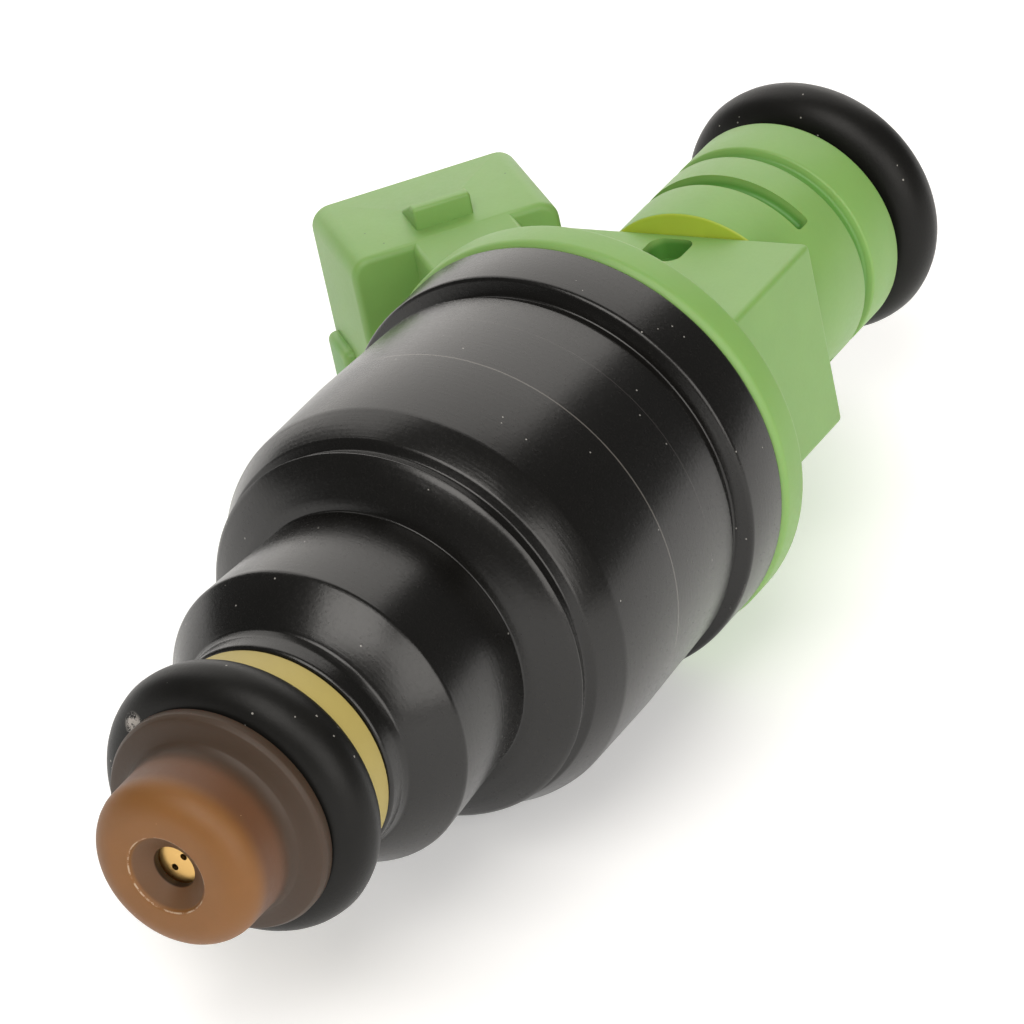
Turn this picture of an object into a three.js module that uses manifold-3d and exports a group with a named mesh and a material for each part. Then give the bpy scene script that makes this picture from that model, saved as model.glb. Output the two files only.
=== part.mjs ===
// Top-feed port fuel injector, lying on its side as it rests on a bench.
//
// Injector frame, in millimetres: the injector's axis is X, from the spray tip to the fuel inlet,
// and x = 0 is the centre plane of the lower O-ring. The electrical connector points along +Y.
// The whole injector is then rolled about X until it rests on its flange and its connector.

import * as THREE from "three";
import { mergeVertices } from "three/addons/utils/BufferGeometryUtils.js";
import Module from "manifold-3d";

const wasm = await Module();
wasm.setup();

// ---- Driving dimensions -------------------------------------------------------------------

const SIDES = 30; // flats round the turned pieces on the outside
const INNER_SIDES = 20; // and round the smaller pieces inside
const FIT = 0.05; // radial gap between pieces that are pressed or sealed together

const RING_SPACING = 60.65; // between the centre planes of the two O-rings
const RING_SECTION = 3.53;
const RING_INNER_DIAMETER = 7.52;

const TIP_X = -7.15; // front face of the nozzle cap
const HOUSING_X0 = 3.6; // crimped front lip of the steel housing
const HOUSING_X1 = 34.0; // rear edge of its crimped collar
const HOUSING_RADIUS = 11.33;
const COLLAR_RADIUS = 11.62;
const FLANGE_RADIUS = 11.75;
const FLANGE_X1 = 36.3;
const BLOCK_X1 = 47.5; // where the square block ends and the round neck goes on
const NECK_RADIUS = 6.4;
const NECK_X1 = 58.2;
const INLET_X1 = 63.4; // rim of the fuel inlet tube

const NEEDLE_LIFT = 0.1;
const ROLL_DEGREES = 10.7; // so the flange and the connector both touch the bench

const CONNECTOR_TILT = 43; // the socket leans this many degrees towards the inlet
const SOCKET_WIDTH = 17;
const SOCKET_HEIGHT = 11.3;
const SOCKET_DEPTH = 8;
const SOCKET_WALL = 1.3;
const SOCKET_MOUTH = { x: 45.6, y: 14.95 };
const SOCKET_LIP = 0.12;
const SOCKET_WEB_HALF_WIDTH = 8.2;
const BLOCK_HALF_WIDTH = 5.25;
const BLOCK_BACK_Y = -7.5;

const BLADE_WIDTH = 2.8;
const BLADE_THICKNESS = 0.8;
const BLADE_SPACING = 5;

// ---- Materials ----------------------------------------------------------------------------

function finish(color, roughness, metalness) {
  return { color, roughness, metalness };
}

const BLACK_STEEL = finish(0x1b1a18, 0.45, 0.6);
const BRIGHT_STEEL = finish(0xb9bcbf, 0.3, 1);
const GREEN_NYLON = finish(0x86b85f, 0.5, 0);
const BROWN_NYLON = finish(0x8f5a2c, 0.45, 0);
const YELLOW_NYLON = finish(0xc8bb62, 0.6, 0);
const BLACK_RUBBER = finish(0x141312, 0.65, 0);
const BRASS = finish(0xc79a45, 0.35, 1);
const COPPER = finish(0xa8542a, 0.4, 1);
const PALE_NYLON = finish(0xd8d2c0, 0.55, 0);

// ---- Shape helpers ------------------------------------------------------------------------

/** Turns the faces of a closed mesh outwards if its signed volume is negative. */
function facingOut(geometry) {
  const place = geometry.getAttribute("position");
  const index = geometry.getIndex();
  const [a, b, c] = [new THREE.Vector3(), new THREE.Vector3(), new THREE.Vector3()];
  let volume = 0;
  for (let i = 0; i < index.count; i += 3) {
    a.fromBufferAttribute(place, index.getX(i));
    b.fromBufferAttribute(place, index.getX(i + 1));
    c.fromBufferAttribute(place, index.getX(i + 2));
    volume += a.dot(b.cross(c));
  }
  if (volume < 0) {
    for (let i = 0; i < index.count; i += 3) {
      const first = index.getX(i);
      index.setX(i, index.getX(i + 1));
      index.setX(i + 1, first);
    }
  }
  return geometry;
}

/** Merges a geometry's shared corners and drops the triangles that have no area. */
function welded(geometry) {
  const bare = geometry.clone();
  bare.deleteAttribute("normal");
  bare.deleteAttribute("uv");
  const merged = mergeVertices(bare, 1e-5);
  const old = merged.getIndex().array;
  const kept = [];
  for (let i = 0; i < old.length; i += 3) {
    const [p, q, r] = [old[i], old[i + 1], old[i + 2]];
    if (p !== q && q !== r && r !== p) {
      kept.push(p, q, r);
    }
  }
  merged.setIndex(kept);
  return facingOut(merged);
}

/** Turns a list of [x, radius] points about the X axis. A bored piece's list is a closed loop. */
function turned(profile, sides = SIDES) {
  const points = profile.map(([x, radius]) => new THREE.Vector2(radius, x));
  const bored = profile.every(([, radius]) => radius > 0);
  if (bored) {
    points.push(points[0].clone());
  }
  const geometry = new THREE.LatheGeometry(points, sides);
  geometry.rotateZ(-Math.PI / 2);
  return welded(geometry);
}

/** A plain ring or sleeve between two radii. */
function sleeve(x0, x1, inner, outer, sides = SIDES) {
  return turned([[x0, inner], [x0, outer], [x1, outer], [x1, inner]], sides);
}

/** A ring with a round section, centred on the X axis. */
function oRing(x, centreRadius, sectionRadius, steps = 10, sides = SIDES) {
  const profile = [];
  for (let i = 0; i < steps; i += 1) {
    const angle = (2 * Math.PI * i) / steps;
    profile.push([x + sectionRadius * Math.cos(angle), centreRadius + sectionRadius * Math.sin(angle)]);
  }
  return turned(profile, sides);
}

/** A plate with an outline in the X-Y plane, centred on z. */
function plateXY(outline, thickness, z = 0) {
  const shape = new THREE.Shape(outline.map(([x, y]) => new THREE.Vector2(x, y)));
  const geometry = new THREE.ExtrudeGeometry(shape, { depth: thickness, bevelEnabled: false });
  geometry.translate(0, 0, z - thickness / 2);
  return welded(geometry);
}

/** A box from its low corner to its high corner. */
function block([x0, y0, z0], [x1, y1, z1]) {
  const geometry = new THREE.BoxGeometry(x1 - x0, y1 - y0, z1 - z0);
  geometry.translate((x0 + x1) / 2, (y0 + y1) / 2, (z0 + z1) / 2);
  return welded(geometry);
}

function solid(geometry) {
  return new wasm.Manifold(
    new wasm.Mesh({
      numProp: 3,
      vertProperties: new Float32Array(geometry.getAttribute("position").array),
      triVerts: new Uint32Array(geometry.getIndex().array),
    }),
  );
}

function geometryOf(manifold) {
  const mesh = manifold.getMesh();
  const geometry = new THREE.BufferGeometry();
  geometry.setAttribute("position", new THREE.BufferAttribute(mesh.vertProperties, 3));
  geometry.setIndex(new THREE.BufferAttribute(mesh.triVerts, 1));
  return geometry;
}

/** Joins the first list of geometries and cuts the second list out of them. */
function shaped(parts, cuts = []) {
  let body = solid(parts[0]);
  for (const part of parts.slice(1)) {
    body = body.add(solid(part));
  }
  for (const cut of cuts) {
    body = body.subtract(solid(cut));
  }
  return geometryOf(body);
}

const injector = new THREE.Group();

/** Adds one named piece to the injector. */
function add(name, geometry, look) {
  const mesh = new THREE.Mesh(geometry, new THREE.MeshStandardMaterial(look));
  geometry.computeVertexNormals();
  mesh.name = name;
  injector.add(mesh);
  return mesh;
}

// ---- Steel housing ------------------------------------------------------------------------

const VALVE_BORE = 6.9;
const COIL_BORE = 9.95;
const COIL_FIT = 0.1;
const ARMATURE_PORT = 5.1;
const VALVE_BORE_X0 = 7.95;
const SHOULDER_X0 = 14.6;
const COIL_X0 = 16.4;
const LIP_BORE = 4.95;

function valveHousing() {
  const neck = [
    [HOUSING_X0, 5.95],
    [HOUSING_X0 + 0.15, 6.1],
    [4.6, 6.1],
    [5.0, 6.25],
    [5.15, 6.5],
  ];
  const smallBarrel = [
    [7.0, 8.08],
    [7.2, 8.2],
    [13.3, 7.85],
    [13.6, 7.8],
    [13.95, 8.4],
  ];
  const step = [
    [14.6, 10.3],
    [14.75, 10.44],
    [15.5, 10.44],
    [15.65, 10.3],
    [15.8, 10.44],
  ];
  const mainBarrel = [
    [17.5, 11.27],
    [17.75, HOUSING_RADIUS],
    [29.5, HOUSING_RADIUS],
    [29.65, 11.2],
    [29.7, 10.67],
    [30.35, 10.67],
  ];
  const collar = [
    [30.6, 11.5],
    [30.75, COLLAR_RADIUS],
    [33.85, COLLAR_RADIUS],
    [HOUSING_X1, 11.5],
  ];
  const bore = [
    [HOUSING_X1, COIL_BORE],
    [COIL_X0, COIL_BORE],
    [COIL_X0, ARMATURE_PORT],
    [SHOULDER_X0, ARMATURE_PORT],
    [SHOULDER_X0, VALVE_BORE],
    [VALVE_BORE_X0, VALVE_BORE],
    [VALVE_BORE_X0, LIP_BORE],
    [HOUSING_X0, LIP_BORE],
  ];
  return turned([...neck, ...smallBarrel, ...step, ...mainBarrel, ...collar, ...bore]);
}

add("valve_housing", valveHousing(), BLACK_STEEL);

// ---- Nozzle: valve body, orifice plate, cap, spacer washer and lower seal ----------------------

const NOSE_RADIUS = 3.7; // the valve body's nose, which the cap, seal and washer sit on
const NOSE_X0 = -5.5;
const NEEDLE_BORE = 1.98;
const SEAT_X0 = -4.6;
const SEAT_X1 = -3.4;
const ORIFICE_RADIUS = 0.6;
const VALVE_FLANGE_X0 = 8.0;
const VALVE_FLANGE_X1 = 13.2;
const VALVE_SEAL_X = 10.6;
const STOP_POCKET_X = 12.0;
const STOP_POCKET_RADIUS = 3.5;

function valveBody() {
  return turned([
    [NOSE_X0, 3.3],
    [NOSE_X0 + 0.4, NOSE_RADIUS],
    [HOUSING_X0, NOSE_RADIUS],
    [HOUSING_X0, LIP_BORE - FIT],
    [VALVE_FLANGE_X0, LIP_BORE - FIT],
    [VALVE_FLANGE_X0, VALVE_BORE - FIT],
    [VALVE_SEAL_X - 0.6, VALVE_BORE - FIT],
    [VALVE_SEAL_X - 0.6, 5.85],
    [VALVE_SEAL_X + 0.6, 5.85],
    [VALVE_SEAL_X + 0.6, VALVE_BORE - FIT],
    [VALVE_FLANGE_X1, VALVE_BORE - FIT],
    [VALVE_FLANGE_X1, STOP_POCKET_RADIUS],
    [STOP_POCKET_X, STOP_POCKET_RADIUS],
    [STOP_POCKET_X, NEEDLE_BORE],
    [SEAT_X1, NEEDLE_BORE],
    [SEAT_X0, ORIFICE_RADIUS],
    [NOSE_X0, ORIFICE_RADIUS],
  ], INNER_SIDES);
}

const PLATE_X0 = -5.9;
const PLATE_X1 = NOSE_X0 - FIT;
const PLATE_RADIUS = 3.0;
const SPRAY_HOLE_RADIUS = 0.18;
const SPRAY_HOLE_CIRCLE = 0.45;
const SPRAY_HOLES = 2;

/** The thin plate that meters the fuel, with its small spray holes on a circle. */
function orificePlate() {
  const shape = new THREE.Shape();
  shape.absarc(0, 0, PLATE_RADIUS, 0, 2 * Math.PI);
  for (let i = 0; i < SPRAY_HOLES; i += 1) {
    const angle = ((i + 0.25) * 2 * Math.PI) / SPRAY_HOLES;
    const hole = new THREE.Path();
    const [y, z] = [SPRAY_HOLE_CIRCLE * Math.cos(angle), SPRAY_HOLE_CIRCLE * Math.sin(angle)];
    hole.absarc(y, z, SPRAY_HOLE_RADIUS, 0, 2 * Math.PI, true);
    shape.holes.push(hole);
  }
  const depth = PLATE_X1 - PLATE_X0;
  const geometry = new THREE.ExtrudeGeometry(shape, { depth, bevelEnabled: false, curveSegments: 5 });
  geometry.rotateY(Math.PI / 2);
  geometry.translate(PLATE_X0, 0, 0);
  return welded(geometry);
}

const CAP_RADIUS = 4.5;
const CAP_FLANGE_RADIUS = 5.95;
const CAP_FLANGE_X0 = -2.75;
const CAP_X1 = -RING_SECTION / 2 - 0.07;
const CAP_HOLE_RADIUS = 1.0;
const CAP_RECESS_RADIUS = 2.05;
const CAP_EDGE_ROUND = 1.9;

function nozzleCap() {
  const front = [
    [TIP_X + 0.65, CAP_HOLE_RADIUS],
    [TIP_X + 0.2, CAP_RECESS_RADIUS],
    [TIP_X, CAP_RECESS_RADIUS + 0.05],
  ];
  const edge = [];
  for (let i = 0; i <= 4; i += 1) {
    const angle = (Math.PI / 2) * (i / 4);
    const x = TIP_X + CAP_EDGE_ROUND * (1 - Math.cos(angle));
    edge.push([x, CAP_RADIUS - CAP_EDGE_ROUND * (1 - Math.sin(angle))]);
  }
  const flange = [
    [CAP_FLANGE_X0 - 0.35, CAP_RADIUS + 0.1],
    [CAP_FLANGE_X0, CAP_RADIUS + 0.4],
    [CAP_FLANGE_X0, CAP_FLANGE_RADIUS - 0.15],
    [CAP_FLANGE_X0 + 0.15, CAP_FLANGE_RADIUS],
    [CAP_X1, CAP_FLANGE_RADIUS],
  ];
  const bore = [
    [CAP_X1, NOSE_RADIUS + FIT],
    [PLATE_X0 - FIT, NOSE_RADIUS + FIT],
    [PLATE_X0 - FIT, CAP_HOLE_RADIUS],
  ];
  return turned([...front, ...edge, ...flange, ...bore]);
}

const RING_RADIUS = (RING_INNER_DIAMETER + RING_SECTION) / 2;
const WASHER_X0 = RING_SECTION / 2 + 0.06;
const WASHER_X1 = HOUSING_X0 - 0.07;

add("valve_body", valveBody(), BRIGHT_STEEL);
add("orifice_plate", orificePlate(), BRASS);
add("nozzle_cap", nozzleCap(), BROWN_NYLON);
add("lower_o_ring", oRing(0, RING_RADIUS, RING_SECTION / 2), BLACK_RUBBER);
add("spacer_washer", sleeve(WASHER_X0, WASHER_X1, NOSE_RADIUS + FIT, 6.0), YELLOW_NYLON);
add("valve_body_seal", oRing(VALVE_SEAL_X, 6.36, 0.42, 6, INNER_SIDES), BLACK_RUBBER);

// ---- Moving valve: needle and armature, with the stop that limits the lift --------------------

const NEEDLE_LAND = 1.93;
const NEEDLE_STEM = 1.25;
const COLLAR_TOP = 13.1;
const STOP_X0 = 13.25;
const STOP_X1 = 14.55;
const SHANK_RADIUS = 1.9;
const NEEDLE_X1 = 18.5;

function valveNeedle() {
  const tip = [
    [-4.45, 0],
    [-4.45, 0.6],
    [-3.45, 1.75],
  ];
  const lands = [
    [-2.4, NEEDLE_LAND],
    [-1.2, NEEDLE_LAND],
    [-0.9, NEEDLE_STEM],
    [7.2, NEEDLE_STEM],
    [7.5, NEEDLE_LAND],
    [9.0, NEEDLE_LAND],
    [9.3, NEEDLE_STEM],
  ];
  const collar = [
    [12.3, NEEDLE_STEM],
    [12.3, 3.2],
    [COLLAR_TOP, 3.2],
    [COLLAR_TOP, 1.6],
  ];
  const shank = [
    [15.2, 1.6],
    [15.2, SHANK_RADIUS],
    [NEEDLE_X1, SHANK_RADIUS],
    [NEEDLE_X1, 0],
  ];
  return turned([...tip, ...lands, ...collar, ...shank], INNER_SIDES);
}

/** A C-shaped stop, so that it slips over the needle below the armature. */
function liftStopPlate() {
  const slot = 2.4;
  const outer = VALVE_BORE - FIT;
  const shape = new THREE.Shape();
  const open = Math.asin(slot / outer);
  shape.absarc(0, 0, outer, open, 2 * Math.PI - open);
  shape.lineTo(0, -slot);
  shape.absarc(0, 0, slot, -Math.PI / 2, Math.PI / 2, true);
  shape.closePath();
  const depth = STOP_X1 - STOP_X0;
  const geometry = new THREE.ExtrudeGeometry(shape, { depth, bevelEnabled: false, curveSegments: 12 });
  geometry.rotateY(Math.PI / 2);
  geometry.translate(STOP_X0, 0, 0);
  return welded(geometry);
}

const ARMATURE_RADIUS = 4.5;
const ARMATURE_X0 = 15.2;
const ARMATURE_X1 = 23.9;
const CORE_X0 = ARMATURE_X1 + NEEDLE_LIFT + 0.15;

function armature() {
  return turned([
    [ARMATURE_X0, 1.95],
    [ARMATURE_X0, 4.1],
    [ARMATURE_X0 + 0.4, ARMATURE_RADIUS],
    [ARMATURE_X1 - 0.3, ARMATURE_RADIUS],
    [ARMATURE_X1, 4.2],
    [ARMATURE_X1, 1.95],
  ], INNER_SIDES);
}

add("valve_needle", valveNeedle(), BRIGHT_STEEL);
add("armature", armature(), BRIGHT_STEEL);
add("lift_stop_plate", liftStopPlate(), BRIGHT_STEEL);

// ---- Return spring and the sleeve that sets its load --------------------------------------------

const SPRING_X0 = NEEDLE_X1 + 0.06;
const SPRING_X1 = 27.94;
const SPRING_RADIUS = 1.4;
const SPRING_WIRE = 0.25;
const SPRING_TURNS = 7;
const CORE_BORE = 2.05;
const ADJUSTER_X1 = 38;

class SpringPath extends THREE.Curve {
  getPoint(t, target = new THREE.Vector3()) {
    const angle = 2 * Math.PI * SPRING_TURNS * t;
    const start = SPRING_X0 + SPRING_WIRE;
    const x = start + (SPRING_X1 - SPRING_X0 - 2 * SPRING_WIRE) * t;
    return target.set(x, SPRING_RADIUS * Math.cos(angle), SPRING_RADIUS * Math.sin(angle));
  }
}

function returnSpring() {
  const section = new THREE.Shape();
  section.absarc(0, 0, SPRING_WIRE * 0.96, 0, 2 * Math.PI);
  const steps = SPRING_TURNS * 10;
  return welded(
    new THREE.ExtrudeGeometry(section, { steps, extrudePath: new SpringPath(), curveSegments: 3 }),
  );
}

/** A rolled sleeve with a slit along it, sprung into the bore of the core. */
function adjustingSleeve() {
  const tube = sleeve(SPRING_X1 + 0.06, ADJUSTER_X1, 1.15, CORE_BORE - FIT, INNER_SIDES);
  const slit = block([SPRING_X1 - 1, -0.25, 0.5], [ADJUSTER_X1 + 1, 0.25, 3]);
  return shaped([tube], [slit]);
}

add("return_spring", returnSpring(), BRIGHT_STEEL);
add("adjusting_sleeve", adjustingSleeve(), BRIGHT_STEEL);

// ---- Magnetic core with the fuel inlet tube --------------------------------------------------

const CORE_RADIUS = 4.6;
const TUBE_RADIUS = 3.7;
const CORE_X1 = 33.0;
const FILTER_X0 = 46;
const FILTER_BORE = 2.95;
const RIM_RADIUS = 5.2;
const RIM_X0 = RING_SPACING + RING_SECTION / 2 + 0.1;

function inletCore() {
  return turned([
    [CORE_X0, CORE_BORE],
    [CORE_X0, CORE_RADIUS],
    [CORE_X1, CORE_RADIUS],
    [CORE_X1, TUBE_RADIUS],
    [RIM_X0, TUBE_RADIUS],
    [RIM_X0, RIM_RADIUS - 0.2],
    [RIM_X0 + 0.2, RIM_RADIUS],
    [INLET_X1 - 0.4, RIM_RADIUS],
    [INLET_X1, RIM_RADIUS - 0.4],
    [INLET_X1, FILTER_BORE + 0.4],
    [INLET_X1 - 0.5, FILTER_BORE],
    [FILTER_X0, FILTER_BORE],
    [FILTER_X0, CORE_BORE],
  ], INNER_SIDES);
}

add("inlet_core", inletCore(), BRIGHT_STEEL);
add("upper_o_ring", oRing(RING_SPACING, RING_RADIUS, RING_SECTION / 2), BLACK_RUBBER);

// ---- Inlet filter: brass collar, moulded frame and mesh ----------------------------------------

const FILTER_COLLAR_X0 = 59.8;
const FILTER_COLLAR_X1 = 62.8;
const FILTER_FRAME_X0 = 47;
const MESH_RADIUS = 1.95;
const RIB_RADIUS = 2.45;

function filterFrame() {
  const foot = turned([
    [FILTER_FRAME_X0, 0],
    [FILTER_FRAME_X0, 2.1],
    [FILTER_FRAME_X0 + 0.3, RIB_RADIUS],
    [FILTER_FRAME_X0 + 1.5, RIB_RADIUS],
    [FILTER_FRAME_X0 + 1.5, 0],
  ], INNER_SIDES);
  const head = sleeve(FILTER_COLLAR_X0 - 2, FILTER_COLLAR_X1 - 0.4, 1.75, RIB_RADIUS, INNER_SIDES);
  const ribs = [];
  for (let i = 0; i < 4; i += 1) {
    const rib = block(
      [FILTER_FRAME_X0 + 1, MESH_RADIUS + 0.12, -0.35],
      [FILTER_COLLAR_X0 - 1.5, RIB_RADIUS - 0.03, 0.35],
    );
    rib.rotateX((Math.PI / 2) * (i + 0.5));
    ribs.push(rib);
  }
  return shaped([foot, head, ...ribs]);
}

const filterCollar = sleeve(FILTER_COLLAR_X0, FILTER_COLLAR_X1, 2.5, FILTER_BORE - FIT, INNER_SIDES);
const meshEnds = [FILTER_FRAME_X0 + 1.6, FILTER_COLLAR_X0 - 2.1];
add("filter_collar", filterCollar, BRASS);
add("filter_frame", filterFrame(), PALE_NYLON);
add("filter_mesh", sleeve(...meshEnds, 1.8, MESH_RADIUS, INNER_SIDES), BRIGHT_STEEL);

// ---- Coil: bobbin, winding, leads, seals and the cover plate that closes the magnetic circuit -------

const BOBBIN_X0 = 17.6;
const BOBBIN_X1 = 30.5;
const BOBBIN_FLANGE = 1;
const BOBBIN_RADIUS = 9.7;
const BOBBIN_BORE = 4.75;
const BOBBIN_TUBE = 5.5;
const COVER_X0 = 31;
const COVER_X1 = 33.5;
const TERMINAL_Y = 7.6; // the blades go down into the coil this far from the axis
const LEAD_Z = BLADE_SPACING / 2 + 1.1;
const LEAD_RADIUS = 0.2;

function coilBobbin() {
  const spool = turned([
    [BOBBIN_X0, BOBBIN_BORE],
    [BOBBIN_X0, BOBBIN_RADIUS],
    [BOBBIN_X0 + BOBBIN_FLANGE, BOBBIN_RADIUS],
    [BOBBIN_X0 + BOBBIN_FLANGE, BOBBIN_TUBE],
    [BOBBIN_X1 - BOBBIN_FLANGE, BOBBIN_TUBE],
    [BOBBIN_X1 - BOBBIN_FLANGE, BOBBIN_RADIUS],
    [BOBBIN_X1, BOBBIN_RADIUS],
    [BOBBIN_X1, BOBBIN_BORE],
  ], INNER_SIDES);
  const notches = [-1, 1].map((side) =>
    block(
      [BOBBIN_X1 - 1.5, TERMINAL_Y - 0.6, side * LEAD_Z - 0.6],
      [BOBBIN_X1 + 1, BOBBIN_RADIUS + 1, side * LEAD_Z + 0.6],
    ),
  );
  return shaped([spool], notches);
}

/** The enamelled wire, wound level, its outside scalloped where the turns lie side by side. */
function coilWinding() {
  const start = BOBBIN_X0 + BOBBIN_FLANGE + 0.08;
  const end = BOBBIN_X1 - BOBBIN_FLANGE - 0.08;
  const turns = 5;
  const outer = [];
  for (let i = 0; i <= 2 * turns; i += 1) {
    const crown = i % 2 === 0 ? 9.1 : 9.3;
    outer.push([start + ((end - start) * i) / (2 * turns), crown]);
  }
  return turned([[start, BOBBIN_TUBE + 0.06], ...outer, [end, BOBBIN_TUBE + 0.06]], INNER_SIDES);
}

function coilLead(side) {
  const wire = new THREE.CylinderGeometry(LEAD_RADIUS, LEAD_RADIUS, 1, 8);
  wire.scale(1, COVER_X1 - 0.4 - BOBBIN_X1 + BOBBIN_FLANGE, 1);
  wire.rotateZ(-Math.PI / 2);
  wire.translate((COVER_X1 - 0.4 + BOBBIN_X1 - BOBBIN_FLANGE) / 2, TERMINAL_Y + 0.2, side * LEAD_Z);
  return welded(wire);
}

/** The blades and their leads pass through two windows in the cover plate. */
function coverPlate() {
  const plate = turned([
    [COVER_X0, 5.9],
    [COVER_X0, COIL_BORE - COIL_FIT],
    [COVER_X1, COIL_BORE - COIL_FIT],
    [COVER_X1, CORE_RADIUS + FIT],
    [COVER_X0 + 0.75, CORE_RADIUS + FIT],
    [COVER_X0 + 0.75, 5.9],
  ], INNER_SIDES);
  const windows = [-1, 1].map((side) => {
    const centre = (side * (BLADE_SPACING / 2 + LEAD_Z)) / 2;
    return block([COVER_X0 - 1, 5.75, centre - 1.4], [COVER_X1 + 1, 9.35, centre + 1.4]);
  });
  return shaped([plate], windows);
}

add("coil_bobbin", coilBobbin(), PALE_NYLON);
add("coil_winding", coilWinding(), COPPER);
add("coil_lead_left", coilLead(1), COPPER);
add("coil_lead_right", coilLead(-1), COPPER);
add("coil_seal_lower", oRing(17.0, 6.2, 0.45, 6, INNER_SIDES), BLACK_RUBBER);
add("coil_seal_upper", oRing(31.12, 5.28, 0.5, 6, INNER_SIDES), BLACK_RUBBER);
add("cover_plate", coverPlate(), BRIGHT_STEEL);

// ---- Terminal blades ------------------------------------------------------------------------

const TILT = THREE.MathUtils.degToRad(CONNECTOR_TILT);
// The socket's own directions in the X-Y plane: out of its mouth, and across its height.
const OUT = { x: Math.sin(TILT), y: Math.cos(TILT) };
const ACROSS = { x: Math.cos(TILT), y: -Math.sin(TILT) };

/** A point in the X-Y plane, from how far it is out from the socket's mouth and across it. */
function socketPoint(out, across) {
  return [
    SOCKET_MOUTH.x + out * OUT.x + across * ACROSS.x,
    SOCKET_MOUTH.y + out * OUT.y + across * ACROSS.y,
  ];
}

const BLADE_TIP = -1.6; // how far the blade's tip is out from the mouth

/** Where an edge of the blade, so far across the socket, reaches the height y and bends. */
function bendPoint(y, across) {
  const out = (y - SOCKET_MOUTH.y - across * ACROSS.y) / OUT.y;
  return socketPoint(out, across);
}

/** The y at which a line across the socket by this much, running along its axis, reaches x. */
function bendAt(x, across) {
  const out = (x - SOCKET_MOUTH.x - across * ACROSS.x) / OUT.x;
  return socketPoint(out, across)[1];
}

/** A blade's outline: straight in the socket, one bend, then down beside the core. */
function bladeOutline(gap) {
  const half = BLADE_WIDTH / 2 + gap;
  const foot = COVER_X0 - (gap > 0 ? 1 : -0.15);
  const tip = gap > 0 ? -SOCKET_DEPTH + SOCKET_WALL + 0.1 : BLADE_TIP;
  const taper = gap > 0 ? 0 : 0.6;
  const outline = [
    [foot, TERMINAL_Y - half],
    bendPoint(TERMINAL_Y - half, half),
    socketPoint(tip - taper, half),
    socketPoint(tip - taper, -half),
    bendPoint(TERMINAL_Y + half, -half),
    [foot, TERMINAL_Y + half],
  ];
  if (taper > 0) {
    outline.splice(3, 0, socketPoint(tip, half - taper), socketPoint(tip, taper - half));
  }
  return outline;
}

function terminal(side) {
  return plateXY(bladeOutline(0), BLADE_THICKNESS, (side * BLADE_SPACING) / 2);
}

add("terminal_left", terminal(1), BRASS);
add("terminal_right", terminal(-1), BRASS);

// ---- Green connector moulding -----------------------------------------------------------------

const PLUG_X0 = 33.6;
const SLOT_X0 = 50.7;
const SLOT_X1 = 52.1;
const SLOT_RADIUS = 5.65;
const SLOT_END_DEGREES = 39; // from the middle of the back to the end of each clip slot
const GROOVE_X0 = 53.8;
const GROOVE_X1 = 55.3;

/** The flange, the plug below it that sits in the collar, and the neck with its full groove. */
function turnedMoulding() {
  return turned([
    [PLUG_X0, TUBE_RADIUS + FIT],
    [PLUG_X0, COIL_BORE - COIL_FIT],
    [HOUSING_X1 + 0.06, COIL_BORE - COIL_FIT],
    [HOUSING_X1 + 0.06, FLANGE_RADIUS - 0.3],
    [HOUSING_X1 + 0.4, FLANGE_RADIUS],
    [FLANGE_X1 - 0.3, FLANGE_RADIUS],
    [FLANGE_X1, FLANGE_RADIUS - 0.3],
    [FLANGE_X1, 5],
    [BLOCK_X1, 5],
    [BLOCK_X1, NECK_RADIUS],
    [GROOVE_X0, NECK_RADIUS],
    [GROOVE_X0, SLOT_RADIUS],
    [GROOVE_X1, SLOT_RADIUS],
    [GROOVE_X1 + 0.15, NECK_RADIUS],
    [NECK_X1 - 0.2, NECK_RADIUS],
    [NECK_X1, NECK_RADIUS - 0.2],
    [NECK_X1, TUBE_RADIUS + FIT],
  ]);
}

/** A rectangle in the socket's plane, as corner points in X and Y. */
function socketRectangle(out0, out1, across0, across1) {
  return [
    socketPoint(out0, across0),
    socketPoint(out1, across0),
    socketPoint(out1, across1),
    socketPoint(out0, across1),
  ];
}

/** The square block under the neck, with the arm that carries the socket. */
function armAndBlock() {
  const half = SOCKET_HEIGHT / 2;
  const outline = [
    [FLANGE_X1 - 1, BLOCK_BACK_Y],
    [BLOCK_X1, BLOCK_BACK_Y],
    [BLOCK_X1, socketPoint(-3, half)[1]],
    socketPoint(-3, half - 0.8),
    socketPoint(-SOCKET_DEPTH + 0.5, 0.6 - half),
    [FLANGE_X1 - 1, 11.2],
  ];
  return plateXY(outline, 2 * BLOCK_HALF_WIDTH);
}

/** The wider web between the back of the socket and the flange. */
function socketWeb() {
  const [low, high] = [-2.3, 3.35];
  const foot = FLANGE_X1 - 1;
  const start = 1 - SOCKET_DEPTH;
  const outline = [
    [foot, bendAt(foot, high)],
    socketPoint(start, high),
    socketPoint(start, low),
    [foot, bendAt(foot, low)],
  ];
  return plateXY(outline, 2 * SOCKET_WEB_HALF_WIDTH);
}

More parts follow.
